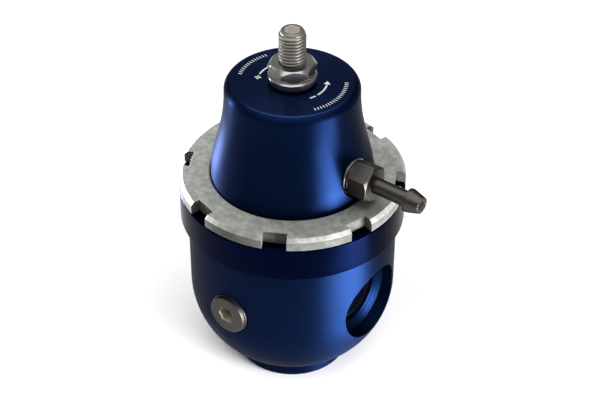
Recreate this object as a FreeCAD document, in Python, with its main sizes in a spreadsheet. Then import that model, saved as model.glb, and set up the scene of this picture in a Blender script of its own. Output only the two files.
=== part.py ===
import FreeCAD, Part
import math
import os

import Sketcher
from FreeCAD import Placement, Rotation, Vector

doc = FreeCAD.newDocument("fuel_pressure_regulator")

# Driving dimensions, in millimetres and degrees

SIZES = {
    # Main spring, which everything round the main axis is built out from
    "spring_wire_radius": 1.6,
    "spring_radius": 12.0,
    "spring_turns": 3.0,
    "closed_turn_pitch": 1.05,
    "spring_side_gap": 0.5,
    # Spring cup, diaphragm and its plate
    "cup_rim_thickness": 1.5,
    "cup_thickness": 1.5,
    "cup_rim_height": 3.5,
    "plate_thickness": 2.0,
    "plate_edge": 0.8,
    "diaphragm_thickness": 1.2,
    "roll_inner_radius": 1.8,
    "roll_gap": 0.25,
    # Cap
    "cap_wall": 2.7,
    "cap_flange_thickness": 3.0,
    "cap_flange_gap": 0.55,
    "cap_mouth_height": 4.0,
    "cap_straight_part": 0.26,
    "cap_base_arc_part": 0.33,
    "cap_shoulder_wall": 3.85,
    "cap_edge_radius": 2.4,
    "cap_rise": 31.4,
    "cap_roof": 6.4,
    "spring_bore_gap": 2.4,
    "spring_bore_start": 18.0,
    "guide_boss_radius": 8.0,
    "guide_boss_length": 4.6,
    # Lock ring
    "ring_bore_gap": 0.3,
    "ring_head_thickness": 3.8,
    "ring_edge": 1.05,
    "ring_bore_edge": 0.4,
    "skirt_wall": 5.35,
    "skirt_length": 6.0,
    "skirt_edge": 0.5,
    "skirt_relief_depth": 0.75,
    "skirt_relief_height": 1.2,
    "notch_count": 8,
    "notch_width": 7.2,
    "notch_depth": 3.2,
    "notch_turn": -17.0,
    # Outside of the bowl, measured up from the face of its bottom boss
    "boss_radius": 17.5,
    "boss_edge": 0.6,
    "bowl_arc": 28.0,
    "bowl_arc_height": 29.5,
    "flange_wall": 4.0,
    "flange_overhang": 2.25,
    "flange_underside": 54.2,
    "flange_thickness": 11.0,
    "flange_top_edge": 0.7,
    "flange_bottom_edge": 0.3,
    # Fuel side of the bowl
    "chamber_step": 0.4,
    "chamber_depth": 8.5,
    "well_radius": 11.0,
    "drain_radius": 5.0,
    "drain_wall": 2.5,
    # Straight-thread ports with an O-ring cone at the mouth
    "port_thread_radius": 9.525,
    "port_cone_flare": 0.775,
    "port_cone_depth": 2.4,
    "return_thread_depth": 14.0,
    "port_drop": 21.8,
    "port_wall": 1.5,
    "counterbore_land": 2.0,
    "counterbore_depth": 7.3,
    "counterbore_bevel": 1.25,
    "thread_mouth": 0.35,
    "passage_radius": 5.5,
    # Gauge port and its plug
    "gauge_drop": 20.5,
    "gauge_spot_depth": 0.75,
    "gauge_spot_gap": 0.3,
    "gauge_thread_radius": 4.865,
    "gauge_thread_depth": 12.0,
    "gauge_passage_radius": 2.5,
    "gauge_seal_thickness": 0.7,
    "gauge_seal_lip": 0.3,
    "plug_head_radius": 6.1,
    "plug_head_height": 1.2,
    "plug_edge": 0.4,
    "plug_shank_length": 8.0,
    "plug_socket_flats": 5.0,
    "plug_socket_depth": 4.0,
    # Bracket flat and tapped holes at the back
    "flat_depth": 3.25,
    "flat_half_width": 16.0,
    "flat_height": 14.2,
    "bracket_spacing": 18.0,
    "bracket_drop": 7.2,
    "bracket_hole_radius": 2.5,
    "bracket_hole_depth": 8.0,
    # Valve parts that hang from the diaphragm
    "hub_radius": 7.0,
    "hub_lip": 0.65,
    "stem_radius": 3.0,
    "stem_end": 1.3,
    "stem_nut_flats": 10.0,
    "stem_nut_height": 4.0,
    "ball_radius": 4.75,
    "socket_roof": 1.5,
    "clip_wire_radius": 0.4,
    "clip_drop": 1.9,
    "clip_opening": 50.0,
    "ball_spring_wire_radius": 0.25,
    "ball_spring_radius": 2.0,
    "ball_spring_turns": 2.0,
    "ball_spring_length": 2.4,
    # Valve seat
    "orifice_radius": 3.0,
    "seat_nose_wall": 1.1,
    "seat_nose_rim": 1.0,
    "seat_nose_height": 3.2,
    "seat_post_radius": 5.5,
    "seat_hex_flats": 16.0,
    "seat_hex_height": 4.0,
    "seat_thread_radius": 7.0,
    "seat_thread_length": 7.0,
    "seat_thread_spare": 0.5,
    "seat_ring_wire_radius": 0.75,
    "seat_ring_gap": 0.2,
    # Spring perch
    "perch_side_gap": 0.7,
    "perch_headroom": 2.9,
    "perch_thickness": 3.0,
    "perch_land": 0.2,
    "perch_hub_length": 4.0,
    "perch_edge": 0.5,
    # Adjuster and its lock nut
    "screw_radius": 3.97,
    "screw_length": 34.3,
    "screw_edge": 0.6,
    "screw_tip_radius": 1.0,
    "screw_socket_flats": 4.0,
    "screw_socket_depth": 4.0,
    "screw_turn": 6.7,
    "nut_flats": 12.5,
    "nut_height": 6.3,
    "nut_top_radius": 6.0,
    "nut_collar_radius": 7.1,
    "nut_collar_height": 2.4,
    "nut_collar_edge": 0.4,
    "nut_waist_radius": 6.3,
    "nut_corner_height": 4.8,
    "nut_turn": 42.5,
    "nut_seal_step": 0.8,
    "nut_seal_thickness": 0.6,
    # Hose barb
    "barb_rise": 7.5,
    "barb_spot_depth": 2.5,
    "barb_spot_gap": 0.8,
    "barb_thread_radius": 4.0,
    "barb_thread_length": 5.0,
    "barb_seal_lip": 0.2,
    "barb_seal_thickness": 0.8,
    "barb_collar_radius": 5.2,
    "barb_collar_height": 0.9,
    "barb_hex_flats": 10.0,
    "barb_hex_height": 6.3,
    "barb_shank_radius": 2.4,
    "barb_crest_radius": 3.55,
    "barb_crest_position": 19.3,
    "barb_crest_land": 0.8,
    "barb_tip_radius": 2.5,
    "barb_length": 24.0,
    "barb_hole_radius": 1.7,
    # Clearances and small edges
    "running_clearance": 0.05,
    "thread_clearance": 0.05,
    "seal_clearance": 0.02,
    "thread_chamfer": 0.5,
    "washer_edge": 0.15,
    "collar_edge": 0.2,
    "cut_margin": 2.0,
}

sheet = doc.addObject("Spreadsheet::Sheet", "Sizes")
for row, (alias, value) in enumerate(SIZES.items(), start=1):
    sheet.set(f"A{row}", alias.replace("_", " "))
    sheet.set(f"B{row}", str(value))
    sheet.setAlias(f"B{row}", alias)
doc.recompute()

# Radii about the main axis, from the main spring outwards

SPRING_OUTSIDE = "(Sizes.spring_radius + Sizes.spring_wire_radius)"
CUP_INSIDE = f"({SPRING_OUTSIDE} + Sizes.spring_side_gap)"
PLATE_RADIUS = f"({CUP_INSIDE} + Sizes.cup_rim_thickness)"
ROLL_OUTER = "(Sizes.roll_inner_radius + Sizes.diaphragm_thickness)"
ROLL_SPREAD = f"sqrt({ROLL_OUTER}^2 - Sizes.diaphragm_thickness^2)"
ROLL_RADIUS = f"({PLATE_RADIUS} + Sizes.roll_gap + {ROLL_SPREAD})"
CAP_MOUTH = f"({ROLL_RADIUS} + {ROLL_SPREAD} + Sizes.roll_gap)"
CAP_BASE_RADIUS = f"({CAP_MOUTH} + Sizes.cap_wall)"
SPRING_BORE = f"({SPRING_OUTSIDE} + Sizes.spring_bore_gap)"
CAP_SHOULDER = f"({SPRING_BORE} + Sizes.cap_shoulder_wall)"
RING_BORE = f"({CAP_BASE_RADIUS} + Sizes.ring_bore_gap)"
SKIRT_RADIUS = f"({RING_BORE} + Sizes.skirt_wall)"
CAP_FLANGE_RADIUS = f"({SKIRT_RADIUS} - Sizes.cap_flange_gap)"
CLAMP_RADIUS = f"({SKIRT_RADIUS} + Sizes.thread_clearance)"
FLANGE_RADIUS = f"({CLAMP_RADIUS} + Sizes.flange_wall)"
BOWL_RADIUS = f"({FLANGE_RADIUS} - Sizes.flange_overhang)"
OUTSIDE = f"({FLANGE_RADIUS} + Sizes.cut_margin)"
PORT_CONE = "(Sizes.port_thread_radius + Sizes.port_cone_flare)"
SCREW_HOLE = "(Sizes.screw_radius + Sizes.running_clearance)"
STEM_HOLE = "(Sizes.stem_radius + Sizes.running_clearance)"
GAUGE_HOLE = "(Sizes.gauge_thread_radius + Sizes.thread_clearance)"
BARB_HOLE = "(Sizes.barb_thread_radius + Sizes.thread_clearance)"
GAUGE_SEAL_RADIUS = "(Sizes.plug_head_radius + Sizes.gauge_seal_lip)"
BARB_SEAL_RADIUS = "(Sizes.barb_collar_radius + Sizes.barb_seal_lip)"
SEAT_RING_RADIUS = (
    "(Sizes.seat_thread_radius + Sizes.seat_ring_gap + Sizes.seat_ring_wire_radius)"
)

# Distances from the main axis to the faces that the fittings seat on

GAUGE_FACE = f"({BOWL_RADIUS} - Sizes.gauge_spot_depth)"
BARB_FACE = f"({CAP_BASE_RADIUS} - Sizes.barb_spot_depth)"

# Heights, from the face of the bottom boss upwards

SEAT_HOLE_END = "(Sizes.return_thread_depth + Sizes.drain_wall)"
WELL_FLOOR = f"({SEAT_HOLE_END} + Sizes.seat_thread_spare + Sizes.seat_thread_length)"
PORT_HEIGHT = "(Sizes.flange_underside - Sizes.port_drop)"
GAUGE_HEIGHT = "(Sizes.flange_underside - Sizes.gauge_drop)"
FLANGE_TOP = "(Sizes.flange_underside + Sizes.flange_thickness)"
RING_TOP = f"({FLANGE_TOP} + Sizes.ring_head_thickness)"
CAP_BASE = f"({FLANGE_TOP} - Sizes.skirt_length - Sizes.cap_flange_thickness)"
LEDGE = f"({CAP_BASE} - Sizes.diaphragm_thickness)"
CHAMBER_FLOOR = f"({LEDGE} - Sizes.chamber_depth)"
BARB_HEIGHT = f"({RING_TOP} + Sizes.barb_rise)"
CAP_TOP = f"({RING_TOP} + Sizes.cap_rise)"
GUIDE_BOSS_END = f"({CAP_TOP} - Sizes.cap_roof - Sizes.guide_boss_length)"
CUP_TOP = f"({CAP_BASE} + Sizes.cup_thickness)"
PERCH_TOP = f"({GUIDE_BOSS_END} - Sizes.perch_headroom)"
TIP_DEPTH = "(Sizes.screw_radius - Sizes.screw_tip_radius + Sizes.perch_land)"
SCREW_TIP = f"({PERCH_TOP} - {TIP_DEPTH})"
NUT_BASE = f"({CAP_TOP} + Sizes.nut_seal_thickness)"
BALL_SPRING_REACH = "(Sizes.ball_radius + Sizes.ball_spring_wire_radius)"
BALL_SPRING_SEAT = f"sqrt({BALL_SPRING_REACH}^2 - Sizes.ball_spring_radius^2)"
BALL_DROP = (
    f"(Sizes.socket_roof + Sizes.ball_spring_length + {BALL_SPRING_SEAT}"
    " + Sizes.running_clearance)"
)
BALL_CENTRE = f"({LEDGE} - {BALL_DROP})"

pieces = []


def number(expression):
    """Value of an expression on the sheet."""
    value = sheet.evalExpression(expression)
    return float(getattr(value, "Value", value))


def new_body(label):
    body = doc.addObject("PartDesign::Body", label)
    body.Label = label
    pieces.append(body)
    return body


def origin_part(body, role):
    return next(part for part in body.Origin.OriginFeatures if part.Role == role)


def arc_middle(start, end, radius, side):
    """Point halfway along the shorter arc; side is 1 when its centre lies left of travel."""
    chord = end - start
    middle = (start + end) * 0.5
    reach = math.sqrt(max(radius**2 - (chord.Length / 2) ** 2, 0.0))
    left = Vector(-chord.y, chord.x, 0).normalize()
    centre = middle + left * (reach * side)
    return centre + (middle - centre).normalize() * radius


def hold_point(sketch, geometry, end, across, up):
    """Tie one point of a sketch to its two expressions, measured from the sketch's origin."""
    for kind, axis, expression in (("DistanceX", -2, across), ("DistanceY", -1, up)):
        if expression == "0":
            sketch.addConstraint(Sketcher.Constraint("PointOnObject", geometry, end, axis))
            continue
        value = number(expression)
        index = sketch.addConstraint(Sketcher.Constraint(kind, -1, 1, geometry, end, value))
        sketch.setExpression(f"Constraints[{index}]", expression)


def new_sketch(body, name, role, across="0", up="0", out="0"):
    """Sketch on one of the body's own origin planes, moved within it and out from it."""
    sketch = body.newObject("Sketcher::SketchObject", name)
    sketch.AttachmentSupport = [(origin_part(body, role), "")]
    sketch.MapMode = "FlatFace"
    for letter, expression in (("x", across), ("y", up), ("z", out)):
        if expression != "0":
            sketch.setExpression(f"AttachmentOffset.Base.{letter}", expression)
    return sketch


def outline(body, name, role, corners, **offset):
    """Closed sketch. A corner is (across, up), or (across, up, radius, side) when an arc reaches it."""
    sketch = new_sketch(body, name, role, **offset)
    points = [Vector(number(corner[0]), number(corner[1]), 0) for corner in corners]
    ends = []
    for index, corner in enumerate(corners):
        start, end = points[index - 1], points[index]
        if len(corner) == 2:
            geometry = sketch.addGeometry(Part.LineSegment(start, end), False)
        else:
            middle = arc_middle(start, end, number(corner[2]), corner[3])
            geometry = sketch.addGeometry(Part.Arc(start, middle, end), False)
            radius = Sketcher.Constraint("Radius", geometry, number(corner[2]))
            sketch.setExpression(f"Constraints[{sketch.addConstraint(radius)}]", corner[2])
        forward = sketch.getPoint(geometry, 1).distanceToPoint(start) < 1e-6
        ends.append((geometry, 1 if forward else 2, 2 if forward else 1))
    for index, corner in enumerate(corners):
        before, after = ends[index], ends[(index + 1) % len(ends)]
        joint = Sketcher.Constraint("Coincident", before[0], before[2], after[0], after[1])
        sketch.addConstraint(joint)
        hold_point(sketch, before[0], before[2], corner[0], corner[1])
    return sketch


def circles(body, name, role, radius, centres, **offset):
    """Sketch of equal circles at the given centres."""
    sketch = new_sketch(body, name, role, **offset)
    for across, up in centres:
        middle = Vector(number(across), number(up), 0)
        circle = Part.Circle(middle, Vector(0, 0, 1), number(radius))
        geometry = sketch.addGeometry(circle, False)
        index = sketch.addConstraint(Sketcher.Constraint("Radius", geometry, number(radius)))
        sketch.setExpression(f"Constraints[{index}]", radius)
        hold_point(sketch, geometry, 3, across, up)
    return sketch


def hexagon(body, name, flats, **offset):
    corner = f"{flats} / sqrt(3)"
    turns = [60 * step for step in range(6)]
    corners = [(f"{corner} * cos({turn})", f"{corner} * sin({turn})") for turn in turns]
    return outline(body, name, "XY_Plane", corners, **offset)


def turn(body, name, corners, kind="Revolution", role="XZ_Plane", axis="V_Axis", **offset):
    """Revolve an outline, to add material or, as a Groove, to cut it."""
    sketch = outline(body, f"{name}_outline", role, corners, **offset)
    feature = body.newObject(f"PartDesign::{kind}", name)
    feature.Profile = sketch
    feature.ReferenceAxis = (sketch, [axis])
    feature.Angle = 360
    return feature


def pad(body, name, sketch, length):
    feature = body.newObject("PartDesign::Pad", name)
    feature.Profile = sketch
    feature.setExpression("Length", length)
    return feature


def pocket(body, name, sketch, length, along_normal=False):
    feature = body.newObject("PartDesign::Pocket", name)
    feature.Profile = sketch
    feature.Reversed = along_normal
    feature.setExpression("Length", length)
    return feature


def place(piece, up, away="0", axis="Z", angle=None):
    """Set a piece on the main axis, or lay its own axis along +X or -Y at a height."""
    turns = {
        "Z": Rotation(),
        "X": Rotation(Vector(0, 1, 0), 90),
        "-Y": Rotation(Vector(1, 0, 0), 90),
    }
    piece.Placement = Placement(Vector(), turns[axis])
    if angle:
        piece.Placement = Placement(Vector(), Rotation(Vector(0, 0, 1), number(angle)))
        piece.setExpression("Placement.Rotation.Angle", angle)
    piece.setExpression("Placement.Base.z", up)
    if axis == "X":
        piece.setExpression("Placement.Base.x", away)
    if axis == "-Y":
        piece.setExpression("Placement.Base.y", f"-({away})")


def washer(label, inner, outer, thickness):
    """Flat ring with broken outer edges, standing on its own XY plane."""
    body = new_body(label)
    turn(body, "washer", [
        (inner, "0"),
        (f"{outer} - Sizes.washer_edge", "0"),
        (outer, "Sizes.washer_edge"),
        (outer, f"{thickness} - Sizes.washer_edge"),
        (f"{outer} - Sizes.washer_edge", thickness),
        (inner, thickness),
    ])
    return body


def torus(label, radius, wire, sweep="360"):
    ring = doc.addObject("Part::Torus", label)
    ring.Label = label
    ring.setExpression("Radius1", radius)
    ring.setExpression("Radius2", wire)
    ring.setExpression("Angle3", sweep)
    pieces.append(ring)
    return ring


def winding(body, name, radius, wire, start, height, turned, turns):
    """Some turns of a coil, which start at a height and after the turns wound before them."""
    section = circles(body, f"{name}_section", "XZ_Plane", wire, [(radius, "0")])
    section.AttachmentOffset = Placement(Vector(), Rotation(Vector(0, 1, 0), 360 * number(turned)))
    section.setExpression("AttachmentOffset.Base.y", start)
    section.setExpression("AttachmentOffset.Rotation.Angle", f"360 * {turned}")
    helix = body.newObject("PartDesign::AdditiveHelix", name)
    helix.Profile = section
    helix.ReferenceAxis = (section, ["V_Axis"])
    helix.Mode = "height-turns-angle"
    helix.setExpression("Height", height)
    helix.setExpression("Turns", turns)


def coil(label, radius, wire, height, turns):
    """Compression spring of round wire with one closed turn, ground flat, at each end."""
    body = new_body(label)
    closed = f"(2 * {wire} * Sizes.closed_turn_pitch)"
    winding(body, "lower_closed_turn", radius, wire, "0", closed, "0", "1")
    winding(body, "open_turns", radius, wire, closed, f"{height} - 2 * {closed}", "1", turns)
    winding(body, "upper_closed_turn", radius, wire, f"{height} - {closed}", closed,
            f"(1 + {turns})", "1")
    reach = f"({radius} + 2 * {wire})"
    square = [(f"-{reach}", f"-{reach}"), (reach, f"-{reach}"), (reach, reach), (f"-{reach}", reach)]
    pocket(body, "lower_ground_face", outline(body, "lower_end", "XY_Plane", square),
           f"2 * {wire}")
    pocket(body, "upper_ground_face", outline(body, "upper_end", "XY_Plane", square, out=height),
           f"2 * {wire}", along_normal=True)
    return body


def make_body():
    """Bowl turned from bar: bottom boss, ball-shaped bowl, flange, fuel chamber and ports."""
    body = new_body("body")
    boss_top = (
        "Sizes.bowl_arc_height - sqrt(Sizes.bowl_arc^2"
        f" - (Sizes.boss_radius - {BOWL_RADIUS} + Sizes.bowl_arc)^2)"
    )
    chamber_radius = f"({CAP_MOUTH} + Sizes.chamber_step)"
    seat_hole = "(Sizes.seat_thread_radius + Sizes.thread_clearance)"
    gland_radius = f"({SEAT_RING_RADIUS} + Sizes.seat_ring_wire_radius + Sizes.seal_clearance)"
    gland_floor = f"({WELL_FLOOR} - 2 * Sizes.seat_ring_wire_radius - Sizes.seal_clearance)"
    turn(body, "bowl", [
        (PORT_CONE, "0"),
        ("Sizes.boss_radius - Sizes.boss_edge", "0"),
        ("Sizes.boss_radius", "Sizes.boss_edge"),
        ("Sizes.boss_radius", boss_top),
        (BOWL_RADIUS, "Sizes.bowl_arc_height", "Sizes.bowl_arc", 1),
        (BOWL_RADIUS, "Sizes.flange_underside"),
        (f"{FLANGE_RADIUS} - Sizes.flange_bottom_edge", "Sizes.flange_underside"),
        (FLANGE_RADIUS, "Sizes.flange_underside + Sizes.flange_bottom_edge"),
        (FLANGE_RADIUS, f"{FLANGE_TOP} - Sizes.flange_top_edge"),
        (f"{FLANGE_RADIUS} - Sizes.flange_top_edge", FLANGE_TOP),
        (f"{CLAMP_RADIUS} + Sizes.skirt_edge", FLANGE_TOP),
        (CLAMP_RADIUS, f"{FLANGE_TOP} - Sizes.skirt_edge"),
        (CLAMP_RADIUS, LEDGE),
        (chamber_radius, LEDGE),
        (chamber_radius, CHAMBER_FLOOR),
        ("Sizes.well_radius", CHAMBER_FLOOR),
        ("Sizes.well_radius", WELL_FLOOR),
        (gland_radius, WELL_FLOOR),
        (gland_radius, gland_floor),
        (seat_hole, gland_floor),
        (seat_hole, SEAT_HOLE_END),
        ("Sizes.drain_radius", SEAT_HOLE_END),
        ("Sizes.drain_radius", "Sizes.return_thread_depth"),
        ("Sizes.port_thread_radius", "Sizes.return_thread_depth"),
        ("Sizes.port_thread_radius", "Sizes.port_cone_depth"),
    ])

    inside_well = "(Sizes.well_radius - Sizes.cut_margin)"
    counterbore_floor = f"({BOWL_RADIUS} - Sizes.counterbore_depth)"
    counterbore_radius = f"({PORT_CONE} + Sizes.counterbore_land)"
    thread_end = "(Sizes.well_radius + Sizes.port_wall)"
    side_port = turn(body, "side_port", [
        (inside_well, "0"),
        (OUTSIDE, "0"),
        (OUTSIDE, counterbore_radius),
        (f"{counterbore_floor} + Sizes.counterbore_bevel", counterbore_radius),
        (counterbore_floor, f"{counterbore_radius} - Sizes.counterbore_bevel"),
        (counterbore_floor, "Sizes.port_thread_radius + Sizes.thread_mouth"),
        (f"{counterbore_floor} - Sizes.thread_mouth", "Sizes.port_thread_radius"),
        (thread_end, "Sizes.port_thread_radius"),
        (thread_end, "Sizes.passage_radius"),
        (inside_well, "Sizes.passage_radius"),
    ], kind="Groove", axis="H_Axis", up=PORT_HEIGHT)
    opposite = body.newObject("PartDesign::Mirrored", "opposite_port")
    opposite.Originals = [side_port]
    opposite.MirrorPlane = (origin_part(body, "YZ_Plane"), [""])
    body.Tip = opposite

    spot_radius = f"({GAUGE_SEAL_RADIUS} + Sizes.gauge_spot_gap)"
    gauge_thread_end = f"({GAUGE_FACE} - Sizes.gauge_thread_depth)"
    turn(body, "gauge_port", [
        (f"-{inside_well}", "0"),
        (f"-{inside_well}", "Sizes.gauge_passage_radius"),
        (f"-{gauge_thread_end}", "Sizes.gauge_passage_radius"),
        (f"-{gauge_thread_end}", GAUGE_HOLE),
        (f"-{GAUGE_FACE}", GAUGE_HOLE),
        (f"-{GAUGE_FACE}", spot_radius),
        (f"-{OUTSIDE}", spot_radius),
        (f"-{OUTSIDE}", "0"),
    ], kind="Groove", role="YZ_Plane", axis="H_Axis", up=GAUGE_HEIGHT)

    flat_distance = f"({BOWL_RADIUS} - Sizes.flat_depth)"
    flat_bottom = "(Sizes.flange_underside - Sizes.flat_height)"
    flat = outline(body, "bracket_flat_outline", "XZ_Plane", [
        ("-Sizes.flat_half_width", flat_bottom),
        ("Sizes.flat_half_width", flat_bottom),
        ("Sizes.flat_half_width", "Sizes.flange_underside"),
        ("-Sizes.flat_half_width", "Sizes.flange_underside"),
    ], out=f"-{flat_distance}")
    pocket(body, "bracket_flat", flat, OUTSIDE)
    hole_height = "Sizes.flange_underside - Sizes.bracket_drop"
    holes = circles(body, "bracket_hole_centres", "XZ_Plane", "Sizes.bracket_hole_radius", [
        ("-Sizes.bracket_spacing / 2", hole_height),
        ("Sizes.bracket_spacing / 2", hole_height),
    ], out=f"-{flat_distance}")
    pocket(body, "bracket_holes", holes, "Sizes.bracket_hole_depth", along_normal=True)


def make_lock_ring():
    """Threaded clamp ring with spanner notches: its skirt presses the cap's flange down."""
    body = new_body("lock_ring")
    head = "Sizes.ring_head_thickness"
    relief_radius = f"({SKIRT_RADIUS} - Sizes.skirt_relief_depth)"
    turn(body, "ring", [
        (RING_BORE, "-Sizes.skirt_length"),
        (f"{SKIRT_RADIUS} - Sizes.skirt_edge", "-Sizes.skirt_length"),
        (SKIRT_RADIUS, "Sizes.skirt_edge - Sizes.skirt_length"),
        (SKIRT_RADIUS, "-Sizes.skirt_relief_height"),
        (relief_radius, "-Sizes.skirt_relief_height"),
        (relief_radius, "0"),
        (FLANGE_RADIUS, "0"),
        (FLANGE_RADIUS, f"{head} - Sizes.ring_edge"),
        (f"{FLANGE_RADIUS} - Sizes.ring_edge", head),
        (f"{RING_BORE} + Sizes.ring_bore_edge", head),
        (RING_BORE, f"{head} - Sizes.ring_bore_edge"),
    ])
    notch_floor = f"({FLANGE_RADIUS} - Sizes.notch_depth)"
    slot = outline(body, "notch_outline", "XY_Plane", [
        (notch_floor, "-Sizes.notch_width / 2"),
        (OUTSIDE, "-Sizes.notch_width / 2"),
        (OUTSIDE, "Sizes.notch_width / 2"),
        (notch_floor, "Sizes.notch_width / 2"),
    ])
    notch = pocket(body, "notch", slot, head, along_normal=True)
    notches = body.newObject("PartDesign::PolarPattern", "notches")
    notches.Originals = [notch]
    notches.Axis = (origin_part(body, "Z_Axis"), [""])
    notches.Angle = 360
    notches.setExpression("Occurrences", "Sizes.notch_count")
    body.Tip = notches
    place(body, FLANGE_TOP, angle="Sizes.notch_turn")


def make_cap():
    """Bell-shaped spring cap: clamped flange, flared wall, rounded shoulder, tapped roof."""
    body = new_body("cap")
    ring_level = f"({RING_TOP} - {CAP_BASE})"
    top = f"({CAP_TOP} - {CAP_BASE})"
    shoulder = f"({top} - Sizes.cap_edge_radius)"
    roof = f"({top} - Sizes.cap_roof)"
    # The wall is an S of two arcs with one straight line that touches both
    wall_height = f"({shoulder} - {ring_level})"
    wall_taper = f"({CAP_BASE_RADIUS} - {CAP_SHOULDER})"
    straight = f"(Sizes.cap_straight_part * {wall_height})"
    arcs = f"(({wall_taper}^2 + {wall_height}^2 - {straight}^2) / (2 * {wall_taper}))"
    base_arc = f"(Sizes.cap_base_arc_part * {arcs})"
    neck_arc = f"({arcs} - {base_arc})"
    lean = f"(atan({arcs} / {straight}) - atan(({arcs} - {wall_taper}) / {wall_height}))"
    turn(body, "bell", [
        (CAP_MOUTH, "0"),
        (CAP_FLANGE_RADIUS, "0"),
        (CAP_FLANGE_RADIUS, "Sizes.cap_flange_thickness"),
        (CAP_BASE_RADIUS, "Sizes.cap_flange_thickness"),
        (CAP_BASE_RADIUS, ring_level),
        (
            f"{CAP_BASE_RADIUS} - {base_arc} * (1 - cos({lean}))",
            f"{ring_level} + {base_arc} * sin({lean})",
            base_arc,
            1,
        ),
        (
            f"{CAP_SHOULDER} + {neck_arc} * (1 - cos({lean}))",
            f"{shoulder} - {neck_arc} * sin({lean})",
        ),
        (CAP_SHOULDER, shoulder, neck_arc, -1),
        (f"{CAP_SHOULDER} - Sizes.cap_edge_radius", top, "Sizes.cap_edge_radius", 1),
        (SCREW_HOLE, top),
        (SCREW_HOLE, f"{roof} - Sizes.guide_boss_length"),
        ("Sizes.guide_boss_radius", f"{roof} - Sizes.guide_boss_length"),
        ("Sizes.guide_boss_radius", roof),
        (SPRING_BORE, roof),
        (SPRING_BORE, "Sizes.spring_bore_start"),
        (CAP_MOUTH, "Sizes.cap_mouth_height"),
    ])
    spot_radius = f"({BARB_SEAL_RADIUS} + Sizes.barb_spot_gap)"
    inside_bore = f"({SPRING_BORE} - Sizes.cut_margin)"
    turn(body, "hose_port", [
        (inside_bore, "0"),
        (OUTSIDE, "0"),
        (OUTSIDE, spot_radius),
        (BARB_FACE, spot_radius),
        (BARB_FACE, BARB_HOLE),
        (inside_bore, BARB_HOLE),
    ], kind="Groove", axis="H_Axis", up=f"{BARB_HEIGHT} - {CAP_BASE}")
    place(body, CAP_BASE)


def make_diaphragm():
    """Rubber-coated fabric disc with one rolled fold between its rim and its plates."""
    body = new_body("diaphragm")
    thick = "Sizes.diaphragm_thickness"
    turn(body, "disc", [
        (STEM_HOLE, "0"),
        (f"{ROLL_RADIUS} - Sizes.roll_inner_radius", "0"),
        (ROLL_RADIUS, "Sizes.roll_inner_radius", "Sizes.roll_inner_radius", -1),
        (f"{ROLL_RADIUS} + Sizes.roll_inner_radius", "0", "Sizes.roll_inner_radius", -1),
        (CAP_FLANGE_RADIUS, "0"),
        (CAP_FLANGE_RADIUS, thick),
        (f"{ROLL_RADIUS} + {ROLL_SPREAD}", thick),
        (ROLL_RADIUS, ROLL_OUTER, ROLL_OUTER, 1),
        (f"{ROLL_RADIUS} - {ROLL_SPREAD}", thick, ROLL_OUTER, 1),
        (STEM_HOLE, thick),
    ])
    place(body, LEDGE)


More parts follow.
